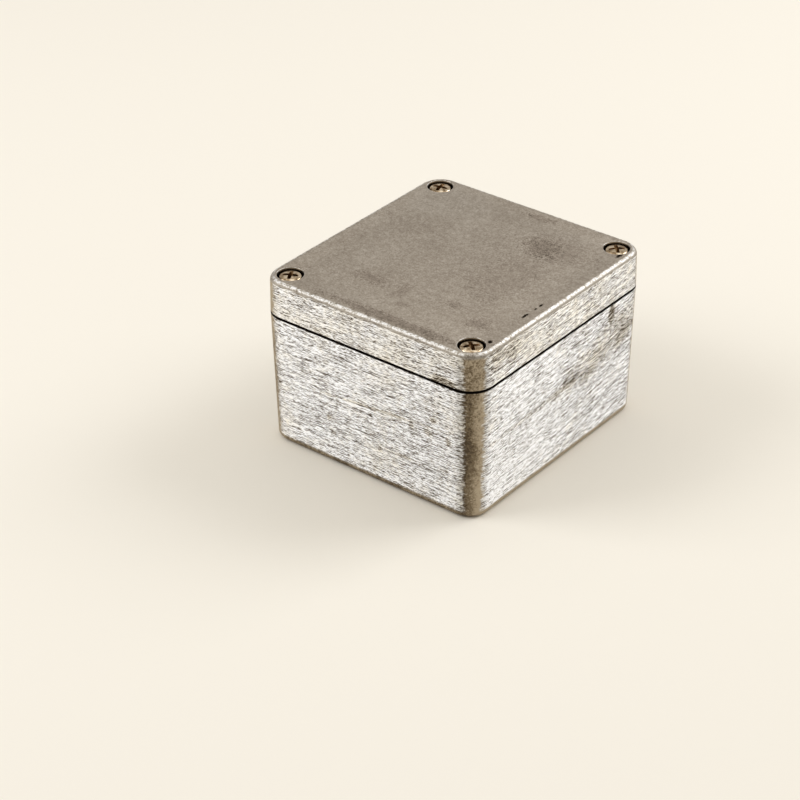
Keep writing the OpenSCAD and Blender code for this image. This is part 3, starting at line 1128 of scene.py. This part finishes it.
@dataclass(frozen=True)
class LinishedCasting(Finish):
    """Aluminium die casting, with its four sides ground on a coarse belt.

    The belt leaves short bright scratches with dark flecks along the sides; the upright corners
    and the bottom edge keep the brown-grey cast skin, partly painted shade, and the top is
    matt and blotched.
    """

    relief_mm: float = 0.04
    corner_reach: float = 0.945  # the belt stops where a side's normal has turned this far
    scratch_mm: Place = (3.0, 0.18)  # along and across a belt scratch
    short_mm: Place = (1.3, 0.11)  # length and width of the short bright lines
    long_mm: Place = (6.0, 0.16)  # and of the long ones
    climb: Place = (0.07, 0.015)  # rise along the run, on the +-X and +-Y sides
    side: Stops = (
        (0.0, "#50453a"), (0.3, "#a69e92"), (0.55, "#dcdad7"), (0.8, "#f7f8fa"), (1.0, "#ffffff"),
    )
    film: str = "#f8f3e8"  # a thin yellowish film, thicker on the lid and in patches
    # cast skin of the corners and bottom edge, partly painted shade
    cast: Stops = ((0.2, "#554a3c"), (0.5, "#82745f"), (0.8, "#b8ab96"))
    # painted shade: the dark band on the top edge's fillet just under its highlight
    edge_dip_shade: Stops = ((0.2, "#5f574c"), (0.5, "#857c70"), (0.8, "#b0a89c"))
    top: Stops = (
        (0.0, "#241b12"), (0.2, "#7d7366"), (0.4, "#a09589"), (0.6, "#b3a99c"), (0.85, "#cdc5ba"),
    )
    # tumbled metal of the top edge, up to white as a painted highlight
    edge: Stops = ((0.2, "#857b6c"), (0.45, "#c9c3b8"), (0.7, "#ffffff"))
    # painted shade along the joint's gap
    gap_shade: str = "#120e0a"
    side_level: float = 0.68
    grains: tuple[tuple[float, float, float], ...] = (  # sizes in mm, detail and roughness
        (0.45, 3.0, 0.7), (1.8, 2.0, 0.6), (13.0, 3.0, 0.55), (0.9, 2.0, 0.6),
    )
    joint_z: float = 40.82
    marks: tuple[Mark, ...] = ()
    mark_edge: Place = (1.15, 0.45)  # where a mark begins and is full, as shares of its radii

    def weigh(self, node: Adder, level: float, *parts: tuple[Socket, float]) -> Socket:
        """A level plus each pattern's swing about its own middle, times its weight.

        Args:
            node: adds a node to the material.
            level: the sum where every pattern is at its middle.
            parts: each pattern and its weight.

        Returns:
            The sum.
        """
        total = level - sum(weight for _, weight in parts) / 2
        for pattern, weight in parts:
            total = node("Math MULTIPLY_ADD", pattern, weight, total)
        return total

    def lines(self, node: Adder, run_at: tuple[Socket, Socket, Socket], size: Place) -> Socket:
        """Grinding lines: noise along each line, with no likeness between one line and the next.

        Args:
            node: adds a node to the material.
            run_at: place along the belt's run, height with its sway, and place across the side.
            size: length and width of a line in millimetres.

        Returns:
            The lines' pattern from 0 to 1.
        """
        along, lift, across = run_at
        row = node("Math FLOOR", node("Math MULTIPLY", lift, 1 / size[1]))
        row = node("Math MULTIPLY", row, 7.31)  # far enough apart in the noise to be unlike
        run = node("Math MULTIPLY", along, 1 / size[0])
        return node("TexNoise", node("CombineXYZ", run, row, across), 1.0, 1.0, 0.5)

    def stain_and_sheen_depth(self, node: Adder, place: Socket, ragged: Socket) -> Socket:
        """How deep the marks are at a place: each fades from its middle to its ragged edge.

        Args:
            node: adds a node to the material.
            place: place on the piece in millimetres.
            ragged: how far the marks' edges wander, as a share of their radii.

        Returns:
            The marks' depths added up.
        """
        total = None
        for mark in self.marks:
            tilt = (*map(math.radians, mark.tilt), 0.0)
            local = node("Mapping", place, mark.centre, tilt, mark.radii, vector_type="TEXTURE")
            rough = node("Math ADD", node("VectorMath LENGTH", local), ragged)
            depth = node("MapRange SMOOTHSTEP", rough, *self.mark_edge, 0.0, mark.depth)
            total = depth if total is None else node("Math ADD", total, depth)
        return total

    def dress(self, node: Adder, place: Socket) -> Dressing:
        """Scratches by side, cast skin in the corners, blotches on the top.

        Args:
            node: adds a node to the material.
            place: place on the piece in millimetres.

        Returns:
            The shader's inputs, and the relief.
        """
        x, y, z = (node("SeparateXYZ", place, out=axis) for axis in "XYZ")
        normal = node("TexCoord", out="Normal")
        nx, ny, nz = (node("SeparateXYZ", normal, out=axis) for axis in "XYZ")
        ax, ay = node("Math ABSOLUTE", nx), node("Math ABSOLUTE", ny)
        ends = node("Math GREATER_THAN", ay, ax)
        along, across = node("Mix", ends, y, x), node("Mix", ends, x, y)
        # scratches: noise stretched along the belt's run, which sways a little
        sway = node("TexNoise", node("CombineXYZ", along, z, across), 1 / 12, 1.5, 0.45)
        lift = node("Math MULTIPLY_ADD", sway, 0.6, z)
        climb = node("Mix", ends, -self.climb[0], -self.climb[1])
        lift = node("Math MULTIPLY_ADD", along, climb, lift)
        length, width = self.scratch_mm
        scratch_at = node("CombineXYZ", *(
            node("Math MULTIPLY", part, scale)
            for part, scale in ((along, 1 / length), (lift, 1 / width), (across, 1 / 30))
        ))
        fine = node("TexNoise", scratch_at, 1.0, 0.5, 0.5)
        run_at = (along, lift, across)
        short, long = (self.lines(node, run_at, size) for size in (self.short_mm, self.long_mm))
        broad_at = node("VectorMath MULTIPLY", scratch_at, (0.22, 0.2, 3.0))
        broad = node("TexNoise", broad_at, 1.0, 2.0, 0.5)
        fleck_at = node("VectorMath MULTIPLY", scratch_at, (2.2, 0.8, 5.0))
        fleck = node("TexNoise", fleck_at, 1.0, 2.0, 0.6)
        # cast grain and soft blotches, the same in every direction
        grain, speck, blotch, pebble = (
            node("TexNoise", place, 1 / size, detail, rough) for size, detail, rough in self.grains
        )
        ragged = node("MapRange", grain, 0.0, 1.0, -0.7, 0.7)
        ragged = node("Math SUBTRACT", node("Math MULTIPLY_ADD", fleck, 0.8, ragged), 0.4)
        stain_and_sheen = self.stain_and_sheen_depth(node, place, ragged)
        # the sides' tone: sharp scratches first, then softer drifts, stains and painted sheen
        sharp = ((short, 4.8), (long, 3.4), (fine, 0.3))
        soft = ((broad, 0.25), (fleck, 0.3), (blotch, 0.3))
        tone = self.weigh(node, self.side_level, *sharp, *soft)
        tone = node("Math MULTIPLY_ADD", stain_and_sheen, -0.55, tone)
        on_lid = node("Math GREATER_THAN", z, self.joint_z)
        tone = node("Mix", node("Math MULTIPLY", on_lid, 0.15), tone, 0.45)
        film = self.weigh(node, 0.05, (blotch, 2.0), (speck, 1.6), (long, 1.0))
        film = node("Math MULTIPLY_ADD", stain_and_sheen, 1.2, film)
        film = node("Math MULTIPLY_ADD", on_lid, 0.4, film, use_clamp=True)
        side = node("ValToRGB", tone, stops=self.side)
        side = node("Mix RGBA", film, side, colour(self.film), blend_type="MULTIPLY")
        # the corners' and bottom edge's cast skin, partly painted shade: darker than bare casting
        # painted shade across each corner: lighter or darker by how it faces along the camera's
        # right
        swing = node("VectorMath DOT_PRODUCT", normal, (0.78, 0.62, 0))
        swing = node("Math ABSOLUTE", node("Math ADD", swing, 0.28))
        middle = node("Math ABSOLUTE", node("Math SUBTRACT", z, 20.0))
        skin = self.weigh(node, 0.15, (blotch, 0.8), (grain, 0.8), (pebble, 0.5), (speck, 0.4))
        slope = node("Mix", on_lid, 0.8, 0.4)
        for part, weight in ((swing, slope), (on_lid, 0.24), (middle, 0.008), (stain_and_sheen, -0.3)):
            skin = node("Math MULTIPLY_ADD", part, weight, skin)
        cast, edge_dip_shade = (
            node("ValToRGB", skin, stops=stops) for stops in (self.cast, self.edge_dip_shade)
        )
        # upward-facing cast skin takes the painted shade of the top edge's dip
        cast = node("Mix RGBA", node("MapRange", nz, 0.05, 0.35), cast, edge_dip_shade)
        # the top's matt skin
        flat_tone = self.weigh(node, 0.6, (blotch, 0.3), (grain, 1.0), (speck, 0.4))
        flat_tone = node("Math MULTIPLY_ADD", stain_and_sheen, -0.4, flat_tone)
        top = node("ValToRGB", flat_tone, stops=self.top)
        # where the belt has been: sides, up to the corners and down to the bottom edge
        spread = node("VectorMath LENGTH", node("CombineXYZ", nx, ny))
        spread = node("Math MAXIMUM", spread, 0.001)
        reach = node("Math DIVIDE", node("Math MAXIMUM", ax, ay), spread)
        reach = self.weigh(node, 0.08, (fine, 0.1), (speck, 0.12), (pebble, 0.1), (reach, 1.0))
        reach = node("Math ADD", reach, 0.5)
        worn_off, ground_off = self.corner_reach + 0.03, self.corner_reach + 0.105
        belt = node("MapRange SMOOTHSTEP", reach, worn_off, ground_off)
        foot = node("Math MULTIPLY_ADD", ragged, 0.7, z)
        under = node("Math MULTIPLY_ADD", fine, 0.5, nz)
        for part, none, full in ((nz, -0.5, -0.12), (foot, 1.8, 2.5), (under, 0.68, 0.46)):
            belt = node("Math MULTIPLY", belt, node("MapRange", part, none, full))
        up = node("Math MULTIPLY_ADD", ragged, 0.012, nz)
        over = node("MapRange SMOOTHSTEP", up, 0.975, 0.995)
        paint = node("Mix RGBA", over, node("Mix RGBA", belt, cast, side), top)
        # the top edge: tumbled metal with a painted highlight, bright along the sides and less so
        # round the corners
        rise = node("MapRange", node("Math MULTIPLY_ADD", ragged, 0.08, nz), 0.6, 0.86)
        edge = node("Math MULTIPLY_ADD", over, -1.0, rise)
        shine = node("MapRange", reach, 0.9, 1.06, 0.45, 0.85)
        edge = node("Math MULTIPLY", edge, shine, use_clamp=True)
        worn_and_highlight = self.weigh(node, 0.55, (pebble, 0.8), (grain, 0.6), (speck, 0.6))
        paint = node("Mix RGBA", edge, paint, node("ValToRGB", worn_and_highlight, stops=self.edge))
        # the joint: painted shade, black a little way up and down from it, for the gap's darkness
        off = node("Math ABSOLUTE", node("Math SUBTRACT", z, self.joint_z))
        off = node("Math MULTIPLY_ADD", ragged, 0.12, off)
        gap_shade = node("MapRange SMOOTHSTEP", off, 0.46, 0.32)
        paint = node("Mix RGBA", gap_shade, paint, colour(self.gap_shade))
        dull = node("Mix", edge, node("Mix", over, 0.62, 0.58), 0.5)
        dull = node("Math MULTIPLY_ADD", stain_and_sheen, 0.2, dull)
        ground = node("Math SUBTRACT", belt, over, use_clamp=True)
        ridges = node("Math MULTIPLY", fine, 2.0)
        pits = self.weigh(node, 0.5, (grain, 1.0), (pebble, 0.5))
        shader = {
            "Base Color": paint,
            "Metallic": 1.0,
            "Roughness": dull,
            # ground metal throws its light up and down, square to the scratches
            "Anisotropic": node("Math MULTIPLY", ground, 0.9),
            "Anisotropic Rotation": 0.25,
            "Tangent": node("VectorMath CROSS_PRODUCT", (0, 0, 1), normal),
        }
        return shader, node("Mix", ground, pits, ridges)


@dataclass(frozen=True)
class MilledMetal(Finish):
    """Aluminium milled with an end mill: bright, faintly ringed, painted black as shade at the
    joint.
    """

    relief_mm: float = 0.01
    half: Place = (37.5, 40.0)
    corner_r: float = 7.2
    gap_shade_mm: float = 1.0
    metal: Stops = ((0.25, "#a49d92"), (0.5, "#c4beb4"), (0.75, "#dad6ce"))
    gap_shade: str = "#14100c"

    def dress(self, node: Adder, place: Socket) -> Dressing:
        """Fine cutter lines under a band of painted shade that hugs the outer edge, for the
        joint's gap.

        The distance in from the outer edge is the corner radius less the length of what lies
        past the corner arcs' centres.

        Args:
            node: adds a node to the material.
            place: place on the piece in millimetres.

        Returns:
            The shader's inputs, and the relief.
        """
        centres = (self.half[0] - self.corner_r, self.half[1] - self.corner_r, 0.0)
        past = node("VectorMath SUBTRACT", node("VectorMath ABSOLUTE", place), centres)
        past = node("VectorMath MAXIMUM", past, (0, 0, 0))
        length = node("VectorMath LENGTH", node("VectorMath MULTIPLY", past, (1, 1, 0)))
        grain = node("TexNoise", place, 1 / 0.8, 3.0, 0.6)
        edge = node("Math MULTIPLY_ADD", grain, 0.6, length)
        clean = self.corner_r - self.gap_shade_mm
        gap_shade = node("MapRange SMOOTHSTEP", edge, clean + 0.1, clean + 0.6)
        rings = node(
            "TexWave", place, 1.6, 2.0, 2.0, 2.0,
            out="Fac", wave_type="RINGS", rings_direction="Z",
        )
        tone = node("Mix", 0.8, rings, grain)
        metal = node("ValToRGB", tone, stops=self.metal)
        shader = {
            "Base Color": node("Mix RGBA", gap_shade, metal, colour(self.gap_shade)),
            "Metallic": node("Math SUBTRACT", 1.0, gap_shade),
            "Roughness": node("Mix", gap_shade, 0.34, 0.85),
        }
        return shader, tone


@dataclass(frozen=True)
class CastInside(Finish):
    """Aluminium as it comes from the die: a matt grey skin with flow marks and a fine pimple."""

    relief_mm: float = 0.04
    skin: Stops = ((0.3, "#8b847a"), (0.5, "#a49d92"), (0.7, "#bcb6ac"))

    def dress(self, node: Adder, place: Socket) -> Dressing:
        """Soft flow marks a few centimetres long, over a grain under half a millimetre.

        Args:
            node: adds a node to the material.
            place: place on the piece in millimetres.

        Returns:
            The shader's inputs, and the relief.
        """
        flow_at = node("VectorMath MULTIPLY", place, (0.35, 1.0, 0.6))
        flow = node("TexNoise", flow_at, 1 / 11, 4.0, named={"Distortion": 1.2})
        grain = node("TexNoise", place, 1 / 0.4, 3.0, 0.7)
        paint = node("ValToRGB", node("Mix", 0.4, flow, grain), stops=self.skin)
        return {"Base Color": paint, "Metallic": 1.0, "Roughness": 0.55}, grain


@dataclass(frozen=True)
class BoredMetal(Finish):
    """Aluminium bored and tapped: darker than the milled faces; with a near-black ramp it is
    painted shade below a height.
    """

    metal: Stops = ((0.3, "#6f675c"), (0.5, "#8f887d"), (0.7, "#aaa49a"))
    unshaded: str = "#a39b8e"
    shade_top_z: float = 100.0  # above this height the painted shade gives way to plain metal

    def dress(self, node: Adder, place: Socket) -> Dressing:
        """Tool lines a third of a millimetre apart, level with the bore.

        Args:
            node: adds a node to the material.
            place: place on the piece in millimetres.

        Returns:
            The shader's inputs, and the relief.
        """
        lines_at = node("VectorMath MULTIPLY", place, (0.3, 0.3, 3.0))
        lines = node("TexNoise", lines_at, 1.0, 3.0, 0.6)
        z = node("SeparateXYZ", place, out="Z")
        unshaded = node("MapRange", z, self.shade_top_z - 0.3, self.shade_top_z)
        metal = node("ValToRGB", lines, stops=self.metal)
        paint = node("Mix RGBA", unshaded, metal, colour(self.unshaded))
        return {"Base Color": paint, "Metallic": 1.0, "Roughness": 0.42}, lines


@dataclass(frozen=True)
class MouldedRubber(Finish):
    """Chloroprene rubber, moulded: black, matt, with a little pale bloom."""

    relief_mm: float = 0.03
    skin: Stops = ((0.35, "#161616"), (0.6, "#242322"), (0.8, "#34322f"))

    def dress(self, node: Adder, place: Socket) -> Dressing:
        """Bloom in soft patches a few millimetres wide, over a fine grain.

        Args:
            node: adds a node to the material.
            place: place on the piece in millimetres.

        Returns:
            The shader's inputs, and the relief.
        """
        bloom = node("TexNoise", place, 1 / 4, 5.0, 0.7)
        paint = node("ValToRGB", bloom, stops=self.skin)
        return {"Base Color": paint, "Roughness": 0.72, "IOR": 1.5}, bloom


@dataclass(frozen=True)
class TurnedStainless(Finish):
    """Stainless steel, cold headed and tumbled: bright and warm; a brown ramp paints shade into
    its cross recess.
    """

    metal: Stops = ((0.32, "#7a654c"), (0.46, "#c4ad8e"), (0.6, "#f8e8cf"))
    dull: float = 0.2

    def dress(self, node: Adder, place: Socket) -> Dressing:
        """Tumbling dents under half a millimetre wide, over a soft warm film.

        Args:
            node: adds a node to the material.
            place: place on the piece in millimetres.

        Returns:
            The shader's inputs, and the relief.
        """
        film = node("TexNoise", place, 1 / 1.6, 3.0, 0.6)
        dents = node("TexNoise", place, 1 / 0.35, 2.0, 0.5)
        paint = node("ValToRGB", film, stops=self.metal)
        return {"Base Color": paint, "Metallic": 1.0, "Roughness": self.dull}, dents


# ---------------------------------------------------------------- studio


@dataclass
class Studio:
    """A pale paper floor, soft lamps and the camera."""

    lens_mm: float = 106.47
    clip_m: Place = (0.01, 20.0)
    aim_m: tuple[float, float, float] = (0.0, 0.0, 0.02)
    place_mm: tuple[float, float, float] = (350.0, -460.4, 367.3)
    right: tuple[float, float, float] = (0.78237, 0.62277, -0.00756)
    up: tuple[float, float, float] = (-0.32468, 0.41818, 0.84836)
    back: tuple[float, float, float] = (0.53150, -0.66127, 0.52937)
    floor_mm: float = 3000.0
    paper: str = "#f6f1e6"
    sky: str = "#fffaf2"
    sky_strength: float = 0.48

    def camera(self) -> None:
        """The camera, from its place and its three axes."""
        lens = bpy.data.cameras.new("camera")
        lens.lens, lens.sensor_width = self.lens_mm, 36.0
        lens.clip_start, lens.clip_end = self.clip_m
        camera = bpy.data.objects.new("camera", lens)
        turn = Matrix((self.right, self.up, self.back)).transposed()
        camera.matrix_world = Matrix.Translation(Vector(self.place_mm) * MM) @ turn.to_4x4()
        bpy.context.scene.collection.objects.link(camera)
        bpy.context.scene.camera = camera

    def floor(self) -> None:
        """A wide sheet of cream paper under the box."""
        half = self.floor_mm * MM / 2
        mesh = bpy.data.meshes.new("paper_floor")
        corners = [(-half, -half, 0), (half, -half, 0), (half, half, 0), (-half, half, 0)]
        mesh.from_pydata(corners, [], [(0, 1, 2, 3)])
        material = bpy.data.materials.new("cream_paper")
        material.use_nodes = True
        shader = material.node_tree.nodes["Principled BSDF"]
        shader.inputs["Base Color"].default_value = colour(self.paper)
        shader.inputs["Roughness"].default_value = 0.9
        shader.inputs["Specular IOR Level"].default_value = 0.15
        mesh.materials.append(material)
        floor = bpy.data.objects.new("paper_floor", mesh)
        bpy.context.scene.collection.objects.link(floor)

    def lamp(
        self, name: str, place: tuple[float, float, float], size: float, power: float, tint: str
    ) -> None:
        """A square soft box that faces the part.

        Args:
            name: of the lamp.
            place: in metres.
            size: of its side in metres.
            power: in watts.
            tint: its colour as sRGB hex.
        """
        light = bpy.data.lights.new(name, "AREA")
        light.shape, light.size, light.energy = "SQUARE", size, power
        light.color = colour(tint)[:3]
        lamp = bpy.data.objects.new(name, light)
        lamp.location = place
        aim = Vector(self.aim_m) - Vector(place)
        lamp.rotation_euler = aim.to_track_quat("-Z", "Y").to_euler()
        bpy.context.scene.collection.objects.link(lamp)

    def world(self) -> None:
        """Even pale light from all round, and the paper's own colour where nothing stands."""
        world = bpy.data.worlds.new("studio")
        world.use_nodes = True
        tree = world.node_tree
        tree.nodes.clear()
        seen = add(tree, "LightPath", out="Is Camera Ray")
        light = add(tree, "Background", colour(self.sky), self.sky_strength)
        paper = add(tree, "Background", colour(self.paper), 1.0)
        add(tree, "OutputWorld", add(tree, "MixShader", seen, light, paper))
        bpy.context.scene.world = world

    def build(self) -> None:
        """Floor, lamps, world and camera, with colours shown as they are written."""
        bpy.context.scene.view_settings.view_transform = "Standard"
        self.floor()
        self.world()
        self.lamp("overhead", (-0.1, 0.15, 1.1), 1.2, 2.4, "#fffdf8")
        self.lamp("back_right", (0.45, 0.72, 0.72), 0.6, 4.8, "#fbfcff")
        self.lamp("left", (-0.68, -0.62, 0.75), 0.6, 5.0, "#fbfcff")
        self.camera()


SKIN_MARKS = (
    # the +X side: a long smear that climbs to the right, a run under the joint, broad lighter
    # patches of painted sheen
    Mark((37.5, 21, 29), (4, 21, 7.5), 0.42, tilt=(18, 0)),
    Mark((37.5, 30.5, 28), (4, 6, 3.2), 0.4, tilt=(20, 0)),
    Mark((37.5, 12.5, 22.8), (3, 5, 1.5), 0.4, tilt=(15, 0)),
    Mark((37.5, 3.5, 25), (3, 3.5, 4.6), 0.25),
    Mark((37.5, -12, 23.3), (3, 26, 1.2), 0.55, tilt=(3, 0)),
    Mark((37.5, 23.2, 37.8), (3, 1.8, 3.6), 1.2),
    Mark((37.5, -30.5, 48.3), (4, 4.6, 4.2), 0.5),
    Mark((37.5, -23.5, 48.3), (4, 4.4, 4.2), 0.45),
    # painted sheen: these negative depths lighten broad parts of the side
    Mark((37.5, -22, 12), (4, 26, 20), -0.35),
    Mark((37.5, -16, 35), (4, 20, 7), -0.3),
    # the -Y side: a smudge at the joint, small pits, one long thin scratch, a dull left edge
    Mark((26.8, -40, 41.9), (5.2, 3, 1.9), 1.1),
    Mark((15.6, -40, 23.9), (1, 2, 1.4), 0.8),
    Mark((23, -40, 28.3), (1.5, 2, 1.2), 0.7),
    Mark((21.2, -40, 23.9), (1.6, 2, 1.5), 0.7),
    Mark((28.1, -40, 23.3), (1.1, 2, 1.4), 0.6),
    Mark((-13.8, -40, 15.1), (0.9, 2, 1.2), 0.8),
    Mark((-12.5, -40, 10.5), (1.5, 2, 0.8), 0.7),
    Mark((4.4, -40, 11.4), (1, 2, 1.1), 0.6),
    Mark((13.5, -40, 12.5), (4, 2, 0.7), 0.6),
    Mark((5.5, -40, 24.3), (27, 3, 0.5), 0.55, tilt=(0, -5)),
    Mark((-35.6, -40, 22), (2.8, 5, 32), 0.4),
    # the top: brown patches and a lighter far patch, then dark nicks by the screws and the +X edge
    Mark((14.5, 21, 52), (6.5, 6, 3), 0.45),
    Mark((18.5, 22.5, 52), (13, 7.5, 3), 0.25),
    Mark((17, 1, 52), (9, 17, 3), 0.22),
    Mark((-12, -22, 52), (6.5, 3, 3), 0.4),
    Mark((-1, -22.5, 52), (2, 5, 3), 0.4),
    Mark((15, -19.5, 52), (3.8, 2, 3), 0.4),
    Mark((26, -24, 52), (3.4, 4, 3), 0.4),
    Mark((3.7, -28, 52), (2.2, 1.8, 3), 0.4),
    Mark((7, -36.2, 52), (27, 2.3, 3), 0.6),
    Mark((4, 35.3, 52), (6, 1.8, 3), 0.4),
    Mark((-22, 28, 52), (16, 12, 3), -0.2),
    Mark((34.2, -29.6, 52), (0.75, 0.9, 1), 2.2),
    Mark((34.4, 30.3, 52), (0.8, 1.6, 1), 1.9),
    Mark((33.5, -5.8, 52), (0.4, 1.1, 1), 1.8),
    Mark((33.5, -8.2, 52), (0.4, 0.8, 1), 1.8),
    Mark((33.4, -12.9, 52), (0.5, 1.5, 1), 1.8),
)
SCREWS = {
    "front_left": ((-31.25, -33.75), 27.0),
    "front_right": ((31.25, -33.75), 51.0),
    "back_right": ((31.25, 33.75), 44.0),
    "back_left": ((-31.25, 33.75), 12.0),
}


def main() -> None:
    """Builds the finishes, the castings, the gasket and the screws, and then the studio."""
    logging.basicConfig(level=logging.INFO, format="%(name)s: %(message)s")
    skin = LinishedCasting("belt_linished_die_casting", marks=SKIN_MARKS).material()
    milled = MilledMetal("milled_aluminium").material()
    inside_skin = CastInside("as_cast_aluminium").material()
    bored = BoredMetal("bored_aluminium").material()
    # painted shade: the screw recesses' walls, near black below their top, for the shade down the
    # recess
    recess_shade = ((0.3, "#17110b"), (0.5, "#2a2119"), (0.7, "#4a3f33"))
    recess = BoredMetal("bored_aluminium_painted_shade", metal=recess_shade, shade_top_z=51.75).material()
    rubber = MouldedRubber("moulded_chloroprene").material()
    steel = TurnedStainless("tumbled_stainless").material()
    # painted shade: the cross recess in brown, for the shade down its arms
    brown = ((0.32, "#33200f"), (0.46, "#6e5236"), (0.6, "#b0946f"))
    cross = TurnedStainless("recess_stainless", metal=brown, dull=0.3).material()
    casting = [skin, milled, inside_skin, bored, recess]
    form = BoxForm()
    BaseCasting("base", "base_casting", "base", "base_metal", form).build(casting)
    LidCasting("lid", "lid_casting", "lid", "lid_metal", form).build(casting)
    LidGasket("gasket", "lid_gasket", "lid", "gasket_rubber", form).build([rubber])
    for corner_name, (place, turn) in SCREWS.items():
        LidScrew(
            f"screw_{corner_name}",
            f"lid_screw_{corner_name}",
            f"screw_{corner_name}",
            "screw_steel",
            place=place,
            turn=turn,
        ).build([steel, cross])
    Studio().build()


if __name__ == "__main__":
    main()
